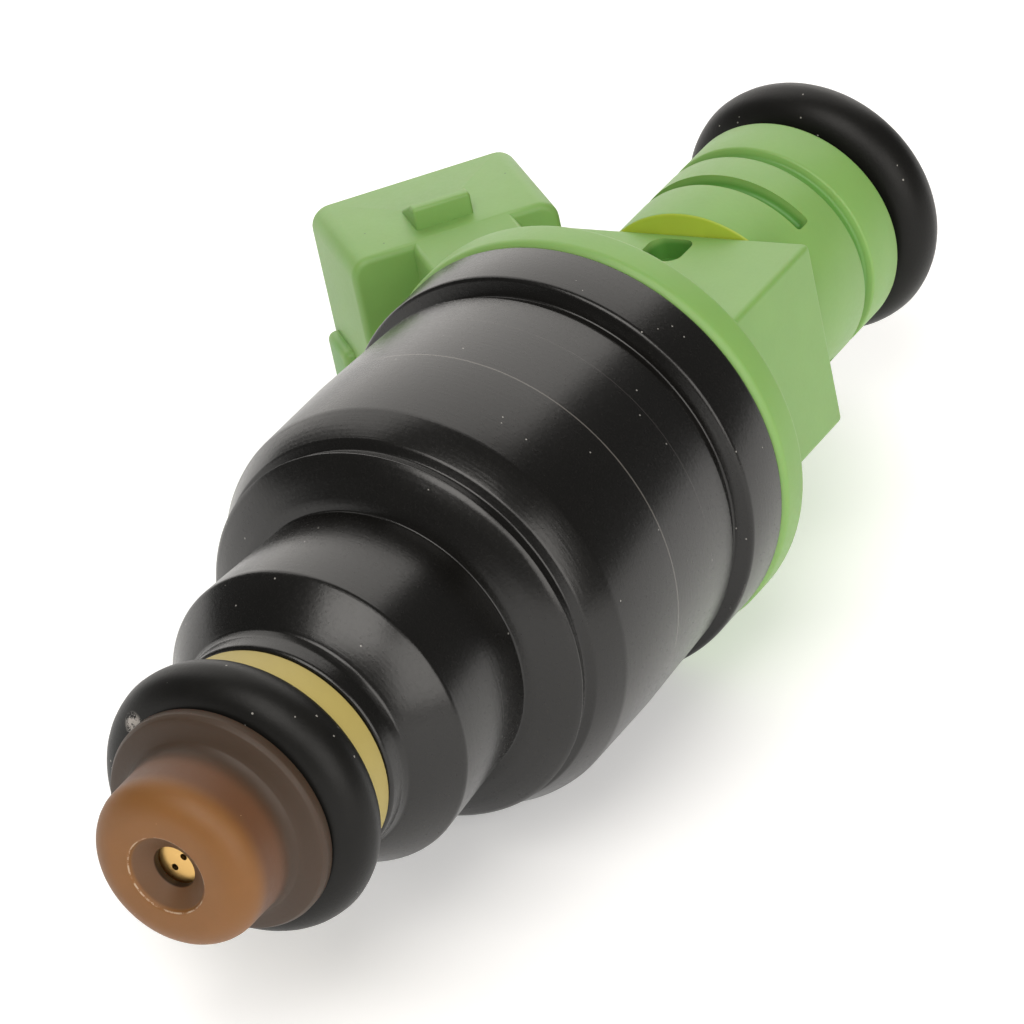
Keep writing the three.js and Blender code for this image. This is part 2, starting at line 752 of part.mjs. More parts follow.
/** The rounded tube of the socket, drawn across its mouth and pushed back along its axis. */
function socketTube(depth, inset, start = 0) {
  const [w, h] = [SOCKET_WIDTH / 2 - inset, SOCKET_HEIGHT / 2 - inset];
  const round = 1.6 - inset / 2;
  const shape = new THREE.Shape();
  shape.moveTo(w - round, -h);
  shape.absarc(w - round, round - h, round, -Math.PI / 2, 0);
  shape.absarc(w - round, h - round, round, 0, Math.PI / 2);
  shape.absarc(round - w, h - round, round, Math.PI / 2, Math.PI);
  shape.absarc(round - w, round - h, round, Math.PI, 1.5 * Math.PI);
  const geometry = new THREE.ExtrudeGeometry(shape, { depth, bevelEnabled: false, curveSegments: 3 });
  geometry.translate(0, 0, start - depth);
  const across = new THREE.Vector3(ACROSS.x, ACROSS.y, 0);
  const out = new THREE.Vector3(OUT.x, OUT.y, 0);
  const wide = across.clone().cross(out);
  geometry.applyMatrix4(new THREE.Matrix4().makeBasis(wide, across, out));
  geometry.translate(SOCKET_MOUTH.x, SOCKET_MOUTH.y, 0);
  return welded(geometry);
}

const LUG_WIDTH = 3.2;

/** A wedge on each side of the socket that the plug's wire clip snaps behind. */
function clipLug(side) {
  const [rise, out0, out1] = [1.3, -6.6, -3.4];
  const face = SOCKET_WIDTH / 2;
  const shape = new THREE.Shape([
    new THREE.Vector2(out0, face - 0.5),
    new THREE.Vector2(out1 + 0.4, face - 0.5),
    new THREE.Vector2(out1, face),
    new THREE.Vector2(out0 + 0.7, face + rise),
    new THREE.Vector2(out0, face + rise),
  ]);
  const geometry = new THREE.ExtrudeGeometry(shape, { depth: LUG_WIDTH, bevelEnabled: false });
  geometry.translate(0, 0, -LUG_WIDTH / 2);
  const out = new THREE.Vector3(OUT.x, OUT.y, 0);
  const wide = new THREE.Vector3(0, 0, side);
  const across = out.clone().cross(wide);
  geometry.applyMatrix4(new THREE.Matrix4().makeBasis(out, wide, across));
  geometry.translate(SOCKET_MOUTH.x, SOCKET_MOUTH.y, 0);
  return welded(geometry);
}

/** A ring sector that cuts one clip slot into the neck, with round ends. */
function clipSlot(side) {
  const end = THREE.MathUtils.degToRad(SLOT_END_DEGREES);
  const [from, to] = [side * end, side * (Math.PI - end)];
  const shape = new THREE.Shape();
  shape.absarc(0, 0, 8, from, to, side < 0);
  shape.absarc(0, 0, SLOT_RADIUS, to, from, side > 0);
  shape.closePath();
  const depth = SLOT_X1 - SLOT_X0;
  const geometry = new THREE.ExtrudeGeometry(shape, { depth, bevelEnabled: false, curveSegments: 8 });
  geometry.applyMatrix4(
    new THREE.Matrix4().makeBasis(
      new THREE.Vector3(0, 1, 0),
      new THREE.Vector3(0, 0, 1),
      new THREE.Vector3(1, 0, 0),
    ),
  );
  geometry.translate(SLOT_X0, 0, 0);
  return welded(geometry);
}

function connectorMoulding() {
  const half = SOCKET_HEIGHT / 2;
  const keyRib = plateXY(socketRectangle(-4, -0.5, -half - 0.7, 0.5 - half), 3.4);
  const boreCore = turned([
    [PLUG_X0 - 1, 0],
    [PLUG_X0 - 1, TUBE_RADIUS + FIT],
    [NECK_X1 + 1, TUBE_RADIUS + FIT],
    [NECK_X1 + 1, 0],
  ]);
  const bladeSlots = [-1, 1].map((side) =>
    plateXY(bladeOutline(0.25), BLADE_THICKNESS + 0.5, (side * BLADE_SPACING) / 2),
  );
  const sidePockets = [-1, 1].map((side) =>
    block(
      [44.1, -1.15, side > 0 ? BLOCK_HALF_WIDTH - 1 : -BLOCK_HALF_WIDTH - 1],
      [46.9, 1.9, side > 0 ? BLOCK_HALF_WIDTH + 1 : 1 - BLOCK_HALF_WIDTH],
    ),
  );
  return shaped(
    [
      turnedMoulding(),
      armAndBlock(),
      socketWeb(),
      socketTube(SOCKET_DEPTH, 0),
      socketTube(1.2, -SOCKET_LIP),
      clipLug(1),
      clipLug(-1),
      keyRib,
    ],
    [
      socketTube(SOCKET_DEPTH - SOCKET_WALL + 1, SOCKET_WALL, 1),
      boreCore,
      ...bladeSlots,
      ...sidePockets,
      clipSlot(1),
      clipSlot(-1),
    ],
  );
}

add("connector_moulding", connectorMoulding(), GREEN_NYLON);

// ---- Laid on its side, with its origin on the bench under the middle of its box ---------------------

injector.rotation.x = -THREE.MathUtils.degToRad(ROLL_DEGREES);
injector.updateMatrixWorld(true);
const box = new THREE.Box3().setFromObject(injector, true);
injector.position.set(-(box.min.x + box.max.x) / 2, -(box.min.y + box.max.y) / 2, -box.min.z);

const part = new THREE.Group();
part.add(injector);

export default part;
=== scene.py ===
# %% [markdown]
# # A fuel injector, from its nozzle cap to its inlet filter
# The solid model gives the exact size and place of every piece. Here the pieces that show are modelled again with
# fine round edges, and each one gets the finish of its real material. The pieces hidden inside keep their solids.

# %% Load the solid model
import math

import bmesh
import bpy
from mathutils import Euler, Matrix, Vector


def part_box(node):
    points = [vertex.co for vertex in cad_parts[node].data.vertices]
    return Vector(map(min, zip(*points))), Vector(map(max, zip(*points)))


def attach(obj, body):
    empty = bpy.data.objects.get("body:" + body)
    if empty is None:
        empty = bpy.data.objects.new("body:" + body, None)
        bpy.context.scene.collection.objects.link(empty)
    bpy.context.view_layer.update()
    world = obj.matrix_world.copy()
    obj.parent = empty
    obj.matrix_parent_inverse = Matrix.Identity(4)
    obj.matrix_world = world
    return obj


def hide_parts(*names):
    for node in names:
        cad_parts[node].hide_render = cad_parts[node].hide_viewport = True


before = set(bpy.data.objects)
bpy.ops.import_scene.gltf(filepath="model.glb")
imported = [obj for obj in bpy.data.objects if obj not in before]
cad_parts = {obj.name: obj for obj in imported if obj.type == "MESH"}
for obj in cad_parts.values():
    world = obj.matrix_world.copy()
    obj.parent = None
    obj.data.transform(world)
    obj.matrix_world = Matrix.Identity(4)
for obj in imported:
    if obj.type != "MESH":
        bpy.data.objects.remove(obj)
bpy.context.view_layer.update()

MILLIMETRE = 0.001

# %% [markdown]
# The injector is a stack of turned pieces, so it is easiest to model in its own directions: X along its axis from
# the middle of the lower O-ring, Y towards the connector, millimetres throughout. One matrix then lays a finished
# piece down where the solid model lies, rolled until the flange and the connector both touch the bench.

# %% Where the injector lies
ROLL = math.radians(10.7)
ring_low, ring_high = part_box("lower_o_ring")
RING_CENTRE = (ring_low + ring_high) / 2
LAY = (
    Matrix.Translation(RING_CENTRE)
    @ Matrix.Rotation(-ROLL, 4, "X")
    @ Matrix.Scale(MILLIMETRE, 4)
)
print("lower O-ring centre", [round(v / MILLIMETRE, 2) for v in RING_CENTRE], "mm")

# %% [markdown]
# The camera looks down on the nozzle end through a long lens, so the far end is only a little smaller. It is placed
# about the injector's axis, and shares the small turn that brought the flange down to the bench.

# %% Camera
LENS = 240.15
CAMERA_FROM_RING = Vector((-0.2229, -0.1357, 0.1934))
CAMERA_TURN = Euler((math.radians(55.805), 0, math.radians(-61.471)))
TURN_WITH_FLANGE = math.radians(1.8)

camera = bpy.data.objects.new("camera", bpy.data.cameras.new("camera"))
bpy.context.scene.collection.objects.link(camera)
camera.data.lens = LENS
camera.data.sensor_width = 36
camera.data.clip_start = 0.01
camera.matrix_world = (
    Matrix.Translation(RING_CENTRE)
    @ Matrix.Rotation(TURN_WITH_FLANGE, 4, "X")
    @ Matrix.Translation(CAMERA_FROM_RING)
    @ CAMERA_TURN.to_matrix().to_4x4()
)
bpy.context.scene.camera = camera
print("camera at", [round(v, 3) for v in camera.matrix_world.translation])

# %% [markdown]
# Black satin steel shows little colour of its own, so what it reflects gives it its shape. One very big soft box hangs
# ahead and to the left, and every barrel mirrors it from its left edge to its middle. On the right the barrels mirror
# a dim room, which is their dark band, and then the pale floor. The two smaller boxes stand where no barrel mirrors
# them, so they only fill the shadows.

# %% Lights
WARM = (1.0, 0.965, 0.92)
AIM = Vector((0, 0, 0.01))
ROOM_LIGHT = 0.12


def soft_box(name, place, size, power):
    light = bpy.data.lights.new(name, "AREA")
    light.color = WARM
    light.shape = "RECTANGLE"
    light.size, light.size_y = size
    light.energy = power
    lamp = bpy.data.objects.new(name, light)
    bpy.context.scene.collection.objects.link(lamp)
    lamp.location = place
    lamp.rotation_euler = (AIM - lamp.location).to_track_quat("-Z", "Y").to_euler()
    print(name, "at", [round(v, 2) for v in lamp.location])


soft_box("big_box", Vector((0.51, 0.37, 0.41)), (1.1, 1.0), 5.9)
soft_box("high_box", Vector((-0.33, -0.06, 0.5)), (0.4, 0.4), 2.2)
soft_box("right_box", Vector((-0.25, -0.44, 0.24)), (0.4, 0.4), 1.6)

room = bpy.data.worlds.new("room")
bpy.context.scene.world = room
room.use_nodes = True
room.node_tree.nodes["Background"].inputs["Color"].default_value = (1, 1, 1, 1)
room.node_tree.nodes["Background"].inputs["Strength"].default_value = ROOM_LIGHT
bpy.context.scene.view_settings.view_transform = "Standard"

# %% [markdown]
# The floor is a large sheet of white paper. It glows a little, which keeps it pale where the object shades it.

# %% Floor
FLOOR_GLOW = 0.3
bpy.ops.mesh.primitive_plane_add(size=6, location=(0, 0, 0))
floor = bpy.context.object
floor.name = "floor"
paper = bpy.data.materials.new("floor_paper")
paper.use_nodes = True
paper_shader = paper.node_tree.nodes["Principled BSDF"]
paper_shader.inputs["Base Color"].default_value = (0.95, 0.95, 0.95, 1)
paper_shader.inputs["Roughness"].default_value = 0.9
paper_shader.inputs["Emission Strength"].default_value = FLOOR_GLOW
floor.data.materials.append(paper)
print("floor", [round(v, 1) for v in floor.dimensions], "m")

# %% [markdown]
# Several finishes share the same small effects, so each effect is a node group made once: a moulded or cast grain,
# fine rings left by turning, specks of dust, and wear where an edge is rubbed. A group only puts out numbers that
# change over the surface. The shader stays in each material.

# %% Effect groups
def effect(name, numbers, output):
    group = bpy.data.node_groups.new(name, "ShaderNodeTree")
    group.interface.new_socket("Place", in_out="INPUT", socket_type="NodeSocketVector")
    for label, value in numbers.items():
        group.interface.new_socket(label, in_out="INPUT", socket_type="NodeSocketFloat").default_value = value
    group.interface.new_socket(output, in_out="OUTPUT", socket_type="NodeSocketFloat")
    entry = group.nodes.new("NodeGroupInput")
    leave = group.nodes.new("NodeGroupOutput")
    return group, entry.outputs, leave.inputs[output]


def maths(tree, operation, first, second=None, third=None):
    node = tree.nodes.new("ShaderNodeMath")
    node.operation = operation
    for socket, value in zip(node.inputs, (first, second, third)):
        if isinstance(value, (int, float)):
            socket.default_value = value
        elif value is not None:
            tree.links.new(value, socket)
    return node.outputs[0]


def noise(tree, place, scale, detail=4):
    node = tree.nodes.new("ShaderNodeTexNoise")
    node.inputs["Detail"].default_value = detail
    if isinstance(scale, (int, float)):
        node.inputs["Scale"].default_value = scale
    else:
        tree.links.new(scale, node.inputs["Scale"])
    tree.links.new(place, node.inputs["Vector"])
    return node.outputs["Fac"]


grain, given, result = effect("grain", {"Scale": 3.0, "Mix": 0.5}, "Height")
coarse = noise(grain, given["Place"], given["Scale"])
fine = noise(grain, given["Place"], maths(grain, "MULTIPLY", given["Scale"], 6), 2)
share = maths(grain, "MULTIPLY", fine, given["Mix"])
grain.links.new(maths(grain, "ADD", coarse, share), result)

turning, given, result = effect("turning_rings", {"Fineness": 8.0}, "Height")
along = turning.nodes.new("ShaderNodeVectorMath")
along.operation = "MULTIPLY"
along.inputs[1].default_value = (1, 0.02, 0.02)
turning.links.new(given["Place"], along.inputs[0])
turning.links.new(noise(turning, along.outputs[0], given["Fineness"], 3), result)

dust, given, result = effect("dust_specks", {"Scale": 0.8, "Size": 0.06}, "Mask")
cells = dust.nodes.new("ShaderNodeTexVoronoi")
dust.links.new(given["Place"], cells.inputs["Vector"])
dust.links.new(given["Scale"], cells.inputs["Scale"])
near = maths(dust, "LESS_THAN", cells.outputs["Distance"], given["Size"])
patches = maths(dust, "GREATER_THAN", noise(dust, given["Place"], 0.35, 1), 0.55)
dust.links.new(maths(dust, "MULTIPLY", near, patches), result)

wear, given, result = effect("edge_wear", {"Start": 0.56, "Strength": 8.0}, "Mask")
shape = wear.nodes.new("ShaderNodeNewGeometry")
past = maths(wear, "SUBTRACT", shape.outputs["Pointiness"], given["Start"])
sharp = maths(wear, "MULTIPLY", past, given["Strength"])
broken = maths(wear, "GREATER_THAN", noise(wear, given["Place"], 1.6, 5), 0.55)
rubbed = wear.nodes.new("ShaderNodeClamp")
wear.links.new(maths(wear, "MULTIPLY", sharp, broken), rubbed.inputs["Value"])
wear.links.new(rubbed.outputs[0], result)
print("effect groups", [g.name for g in bpy.data.node_groups])

# %% [markdown]
# Every finish starts the same way: the place on the object in the injector's own millimetres, a colour that drifts
# a little, a roughness that drifts with it, and a fine bump. A few settings then tell nylon from steel or rubber.

# %% A finish
class Finish:
    """One material, with the sockets that its own details are added to."""

    def __init__(self, name, colour, rough, grain_scale=2.0, bump=0.02, drift=0.15, metal=0.0):
        self.material = bpy.data.materials.new(name)
        self.material.use_nodes = True
        self.tree = self.material.node_tree
        self.shader = self.tree.nodes["Principled BSDF"]
        self.shader.inputs["Metallic"].default_value = metal
        spot = self.tree.nodes.new("ShaderNodeTexCoord")
        mapping = self.tree.nodes.new("ShaderNodeMapping")
        turn = Matrix.Rotation(ROLL, 3, "X")
        mapping.inputs["Location"].default_value = -(turn @ RING_CENTRE) / MILLIMETRE
        mapping.inputs["Rotation"].default_value = (ROLL, 0, 0)
        mapping.inputs["Scale"].default_value = (1 / MILLIMETRE,) * 3
        self.tree.links.new(spot.outputs["Object"], mapping.inputs["Vector"])
        self.place = mapping.outputs["Vector"]
        self.height = self.use(grain, Scale=grain_scale, Mix=0.4)
        self.colour = self.mixed(
            self.use(grain, Scale=grain_scale * 0.12, Mix=0.2),
            [c * (1 - drift) for c in colour],
            [min(1, c * (1 + drift)) for c in colour],
        )
        self.rough = maths(self.tree, "MULTIPLY_ADD", self.height, 0.12, rough - 0.08)
        self.bump = bump

    def use(self, group, **numbers):
        node = self.tree.nodes.new("ShaderNodeGroup")
        node.node_tree = group
        self.tree.links.new(self.place, node.inputs["Place"])
        for label, value in numbers.items():
            node.inputs[label].default_value = value
        return node.outputs[0]

    def mixed(self, factor, first, second):
        node = self.tree.nodes.new("ShaderNodeMix")
        node.data_type = "RGBA"
        self.tree.links.new(factor, node.inputs["Factor"])
        for socket, value in ((node.inputs[6], first), (node.inputs[7], second)):
            if isinstance(value, bpy.types.NodeSocket):
                self.tree.links.new(value, socket)
            else:
                socket.default_value = (*value, 1)
        return node.outputs[2]

    def paint(self, mask, colour):
        self.colour = self.mixed(mask, self.colour, colour)

    def axis(self, letter):
        node = self.tree.nodes.new("ShaderNodeSeparateXYZ")
        self.tree.links.new(self.place, node.inputs[0])
        return node.outputs[letter]

    def line(self, x, half_width):
        """A mask that is 1 within half_width of the plane at x."""
        away = maths(self.tree, "ABSOLUTE", maths(self.tree, "SUBTRACT", self.axis("X"), x))
        return maths(self.tree, "LESS_THAN", away, half_width)

    def radius(self):
        """How far a point is from the injector's axis."""
        flat = self.tree.nodes.new("ShaderNodeVectorMath")
        flat.operation = "MULTIPLY"
        flat.inputs[1].default_value = (0, 1, 1)
        self.tree.links.new(self.place, flat.inputs[0])
        length = self.tree.nodes.new("ShaderNodeVectorMath")
        length.operation = "LENGTH"
        self.tree.links.new(flat.outputs[0], length.inputs[0])
        return length.outputs["Value"]

    def around(self, centre, reach):
        """A mask that fades from 1 to 0 towards this far from a point."""
        away = self.tree.nodes.new("ShaderNodeVectorMath")
        away.operation = "DISTANCE"
        away.inputs[1].default_value = centre
        self.tree.links.new(self.place, away.inputs[0])
        return self.rise(away.outputs["Value"], reach, reach * 0.6)

    def rise(self, value, low, high):
        """A mask that goes smoothly from 0 at low to 1 at high."""
        node = self.tree.nodes.new("ShaderNodeMapRange")
        node.interpolation_type = "SMOOTHSTEP"
        node.inputs["From Min"].default_value = low
        node.inputs["From Max"].default_value = high
        self.tree.links.new(value, node.inputs["Value"])
        return node.outputs["Result"]

    def both(self, first, second):
        return maths(self.tree, "MULTIPLY", first, second)

    def done(self):
        links = self.tree.links
        links.new(self.colour, self.shader.inputs["Base Color"])
        links.new(self.rough, self.shader.inputs["Roughness"])
        relief = self.tree.nodes.new("ShaderNodeBump")
        relief.inputs["Strength"].default_value = 0.6
        relief.inputs["Distance"].default_value = self.bump * MILLIMETRE
        links.new(self.height, relief.inputs["Height"])
        links.new(relief.outputs["Normal"], self.shader.inputs["Normal"])
        print("finish", self.material.name, len(self.tree.nodes), "nodes")
        return self.material

# %% [markdown]
# The housing is steel with a thin black coating. The lathe leaves rings that just catch the light, two faint pale
# lines show where the tool paused, and the coating is rubbed and speckled with dust along its edges.

# %% Black coated steel
TOOL_PAUSES = (23.07, 27.0)
black = Finish("black_coated_steel", (0.0045, 0.0042, 0.0036), 0.25, grain_scale=5, bump=0.008)
black.height = maths(black.tree, "ADD", black.height, black.use(turning, Fineness=9))
black.paint(black.line(TOOL_PAUSES[0], 0.04), (0.10, 0.094, 0.085))
black.paint(black.line(TOOL_PAUSES[1], 0.02), (0.035, 0.032, 0.03))
black.paint(black.use(wear, Start=0.62, Strength=3), (0.05, 0.047, 0.043))
black.paint(black.use(dust, Scale=1.1, Size=0.05), (0.30, 0.29, 0.27))
BLACK_STEEL = black.done()

# %% [markdown]
# Nylon lets a little light in, which softens its shadows. The moulding is green, with painted shade in its slots, in
# its pockets and round its key, and warmer on the thin face where the neck stands over the block.

# %% Green nylon
LIGHT_DEPTH = 0.6 * MILLIMETRE
# The darker green that paints shade into the moulding's slots, pockets and the place round its key.
PAINTED_SHADE_GREEN = (0.085, 0.25, 0.04)
KEY_PLACE = (39.7, 17.4, 0)


def lets_light_in(finish, weight):
    finish.shader.inputs["Subsurface Weight"].default_value = weight
    finish.shader.inputs["Subsurface Scale"].default_value = LIGHT_DEPTH


green = Finish("green_nylon", (0.20, 0.372, 0.096), 0.46, grain_scale=4, bump=0.010, drift=0.06)
green.paint(green.both(green.line(47.45, 0.12), green.rise(green.radius(), 6.6, 6.4)), (0.36, 0.46, 0.045))
# Painted shade: the green round the key, on the socket's shaded side, is painted darker.
green.paint(green.around(KEY_PLACE, 2.1), (0.13, 0.33, 0.06))
# Painted shade: the inside of each clip slot is painted a darker green.
slot_shade = green.both(green.rise(green.axis("X"), 48.5, 49.5), green.rise(green.radius(), 6.25, 5.75))
green.paint(slot_shade, PAINTED_SHADE_GREEN)
# Painted shade: the deep part of each pocket in the block is painted a darker green.
for hand in (1, -1):
    pocket_shade = green.both(green.around((45.7, 0.1, hand * 4.7), 2.4), green.rise(green.radius(), 5.3, 4.9))
    green.paint(pocket_shade, PAINTED_SHADE_GREEN)
green.paint(green.use(dust, Scale=0.5, Size=0.03), (0.12, 0.2, 0.07))
lets_light_in(green, 0.12)
GREEN_NYLON = green.done()

# %% [markdown]
# The cap is the same plastic in brown: amber at its thin front, browner along its side, and darkest where it gets
# thick at its flange. Its dish is browner too, the wall of its hole is painted nearly black as shade, and its rim is
# rubbed in places.

# %% Brown nylon
amber = Finish("brown_nylon", (0.195, 0.082, 0.02), 0.5, grain_scale=4, bump=0.008, drift=0.1)
amber.shader.inputs["Specular IOR Level"].default_value = 0.35
amber.paint(amber.rise(amber.axis("X"), -6.3, -5.1), (0.115, 0.05, 0.022))
amber.paint(amber.rise(amber.axis("X"), -4.4, -3.2), (0.05, 0.03, 0.018))
amber.paint(amber.both(amber.rise(amber.radius(), 2.12, 1.9), amber.rise(amber.axis("X"), -7.1, -6.9)),
            (0.115, 0.056, 0.024))
# Painted shade: the wall of the cap's hole is painted nearly black.
amber.paint(amber.both(amber.rise(amber.radius(), 1.16, 1.12), amber.rise(amber.axis("X"), -6.4, -6.3)),
            (0.02, 0.011, 0.007))
rubbed_ring = amber.both(amber.rise(amber.radius(), 2.04, 2.07), amber.rise(amber.radius(), 2.13, 2.1))
amber.paint(amber.both(rubbed_ring, amber.rise(amber.use(grain, Scale=2.2, Mix=0.4), 0.62, 0.8)), (0.42, 0.31, 0.21))
amber.paint(amber.use(dust, Scale=1.1, Size=0.03), (0.45, 0.25, 0.12))
lets_light_in(amber, 0.1)
BROWN_NYLON = amber.done()

# %% [markdown]
# Two more nylons need only their grain and a drift of colour: the yellow one of the washer, and the natural one of
# the coil's bobbin and the filter's frame.

# %% Yellow and natural nylon
yellow = Finish("yellow_nylon", (0.40, 0.32, 0.095), 0.55, grain_scale=5, bump=0.008, drift=0.08)
YELLOW_NYLON = yellow.done()

pale = Finish("natural_nylon", (0.55, 0.52, 0.40), 0.5, grain_scale=4, bump=0.01, drift=0.08)
PALE_NYLON = pale.done()

# %% [markdown]
# The seals are oiled rubber: nearly black, softly shiny, faintly mottled, with a few specks stuck to the oil. The
# lower one has been scuffed pale where the cap's flange pinches it.

# %% Rubber
rubber = Finish("oiled_rubber", (0.006, 0.0058, 0.0052), 0.4, grain_scale=6, bump=0.01, drift=0.3)
rubber.shader.inputs["Specular IOR Level"].default_value = 0.2
rubber.paint(rubber.use(dust, Scale=1.5, Size=0.09), (0.26, 0.25, 0.23))
scuffed = rubber.both(rubber.around((-1.35, 3.95, 4.38), 0.8), rubber.rise(rubber.use(grain, Scale=2.5), 0.72, 0.76))
rubber.paint(scuffed, (0.4, 0.37, 0.34))
BLACK_RUBBER = rubber.done()

# %% [markdown]
# The metals differ in colour and in how they were worked. Ground steel and brass keep their turning rings, tinned
# blades are softer, spring wire is darker, and the winding shows its turns of wire as fine ridges.

# %% Metals
def metal(name, colour, rough, fineness):
    finish = Finish(name, colour, rough, grain_scale=6, bump=0.01, drift=0.07, metal=1.0)
    finish.height = maths(finish.tree, "ADD", finish.height, finish.use(turning, Fineness=fineness))
    return finish


BRIGHT_STEEL = metal("ground_steel", (0.58, 0.58, 0.59), 0.28, 10).done()
SPRING_STEEL = metal("spring_wire", (0.36, 0.36, 0.38), 0.33, 3).done()
BRASS = metal("golden_brass", (0.66, 0.42, 0.15), 0.3, 8).done()
TINNED = metal("tinned_blade", (0.62, 0.60, 0.55), 0.34, 4).done()

wound = metal("enamelled_copper", (0.52, 0.17, 0.06), 0.3, 2)
WIRE_RIDGES = 20
ridges = maths(wound.tree, "SINE", maths(wound.tree, "MULTIPLY", wound.axis("X"), WIRE_RIDGES))
wound.height = maths(wound.tree, "MULTIPLY_ADD", ridges, 0.5, wound.height)
wound.bump = 0.08
COPPER = wound.done()

woven = metal("woven_mesh", (0.5, 0.51, 0.52), 0.35, 4)
WEAVE = 60
warp = maths(woven.tree, "SINE", maths(woven.tree, "MULTIPLY", woven.axis("X"), WEAVE))
weft = maths(woven.tree, "SINE", maths(woven.tree, "MULTIPLY", woven.axis("Y"), WEAVE))
woven.height = maths(woven.tree, "ADD", woven.height, maths(woven.tree, "MULTIPLY", warp, weft))
woven.bump = 0.06
WOVEN = woven.done()

# %% [markdown]
# Every outline is drawn the same way: one point, pushed out corner by corner. Turned pieces then spin that outline
# about the axis, as a lathe does, and flat pieces fill it and push it to a thickness.

# %% Drawing an outline
TOUCH = 1e-4


def nothing_selected():
    if bpy.context.object and bpy.context.object.mode != "OBJECT":
        bpy.ops.object.mode_set(mode="OBJECT")
    bpy.ops.object.select_all(action="DESELECT")


def outline(name, points, closed=True):
    """A chain of edges through the points, left in edit mode with everything selected."""
    nothing_selected()
    bpy.ops.mesh.primitive_plane_add(size=1, location=(0, 0, 0))
    piece = bpy.context.object
    piece.name = name
    bpy.ops.object.mode_set(mode="EDIT")
    bpy.ops.mesh.merge(type="CENTER")
    bpy.ops.transform.translate(value=points[0])
    for start, end in zip(points, points[1:]):
        step = Vector(end) - Vector(start)
        bpy.ops.mesh.extrude_region_move(TRANSFORM_OT_translate={"value": step})
    if closed:
        mesh = bmesh.from_edit_mesh(piece.data)
        for vert in mesh.verts:
            at_end = min((vert.co - Vector(points[i])).length for i in (0, -1))
            vert.select_set(at_end < TOUCH)
        mesh.select_flush_mode()
        bmesh.update_edit_mesh(piece.data)
        bpy.ops.mesh.edge_face_add()
    bpy.ops.mesh.select_all(action="SELECT")
    return piece


def tidy_surface(piece):
    bpy.ops.mesh.select_all(action="SELECT")
    bpy.ops.mesh.remove_doubles(threshold=TOUCH)
    bpy.ops.mesh.normals_make_consistent(inside=False)
    bpy.ops.object.mode_set(mode="OBJECT")
    return piece


def turned(name, profile, steps=144):
    """Spins [x, radius] points about the axis. A profile that starts and ends on the axis is left open there."""
    on_axis = profile[0][1] == 0 and profile[-1][1] == 0
    piece = outline(name, [(x, radius, 0) for x, radius in profile], closed=not on_axis)
    bpy.ops.mesh.spin(steps=steps, angle=2 * math.pi, center=(0, 0, 0), axis=(1, 0, 0))
    return tidy_surface(piece)


def plate(name, points, thickness, z=0):
    """Fills [x, y] points and pushes the face to a thickness, centred on z."""
    piece = outline(name, [(x, y, z - thickness / 2) for x, y in points])
    bpy.ops.mesh.edge_face_add()
    bpy.ops.mesh.extrude_region_move(TRANSFORM_OT_translate={"value": (0, 0, thickness)})
    return tidy_surface(piece)


# %% [markdown]
# Four things are then done to most pieces: their edges are rounded with a Bevel modifier, other solids are joined to
# them or cut out of them with a Boolean one, a piece that repeats is copied, and the finished piece is laid in place.

# %% Rounding, joining, copying and laying
def ready(piece):
    nothing_selected()
    piece.select_set(True)
    bpy.context.view_layer.objects.active = piece
    return piece


def rounded(piece, width, segments=3, angle=28):
    """Rounds every edge that is sharper than the angle."""
    ready(piece)
    rounding = piece.modifiers.new("rounding", "BEVEL")
    rounding.width = width
    rounding.segments = segments
    rounding.limit_method = "ANGLE"
    rounding.angle_limit = math.radians(angle)
    rounding.use_clamp_overlap = True
    rounding.miter_outer = "MITER_ARC"
    bpy.ops.object.modifier_apply(modifier=rounding.name)
    return piece


def combined(piece, others, how):
    """Joins other solids to a piece, or cuts them out of it."""
    for other in others:
        ready(piece)
        joining = piece.modifiers.new("joining", "BOOLEAN")
        joining.operation = how
        joining.solver = "EXACT"
        joining.object = other
        bpy.ops.object.modifier_apply(modifier=joining.name)
        bpy.data.objects.remove(other)
    return piece


def copies(piece, places):
    """Puts the piece at the first place, and a copy with its own mesh at each of the others."""
    twins = [piece]
    for _ in places[1:]:
        twin = piece.copy()
        twin.data = piece.data.copy()
        bpy.context.scene.collection.objects.link(twin)
        twins.append(twin)
    for twin, place in zip(twins, places):
        ready(twin)
        twin.matrix_world = place
        bpy.ops.object.transform_apply(location=True, rotation=True, scale=True)
    return twins


def laid(piece, node, finish, body="injector_body", smooth=32):
    """Lays a finished piece in place, shades it, and says what it stands for."""
    ready(piece)
    bpy.ops.object.shade_smooth_by_angle(angle=math.radians(smooth))
    piece.matrix_world = LAY
    bpy.ops.object.transform_apply(location=True, rotation=True, scale=True)
    piece.data.materials.clear()
    piece.data.materials.append(finish)
    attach(piece, body)
    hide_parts(node)
    low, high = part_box(node)
    size = [round(v / MILLIMETRE, 2) for v in piece.dimensions]
    solid_size = [round(v / MILLIMETRE, 2) for v in high - low]
    print(piece.name, len(piece.data.polygons), "faces", size, "solid", solid_size)
    return piece

# %% [markdown]
# The steel housing is turned from one bar: a small barrel, a shoulder, the main barrel round the coil, a groove,
# and a collar that is crimped over the moulding. The main barrel narrows a little from the first pause line to the
# groove. Spinning its section gives every step and the bore in one go.

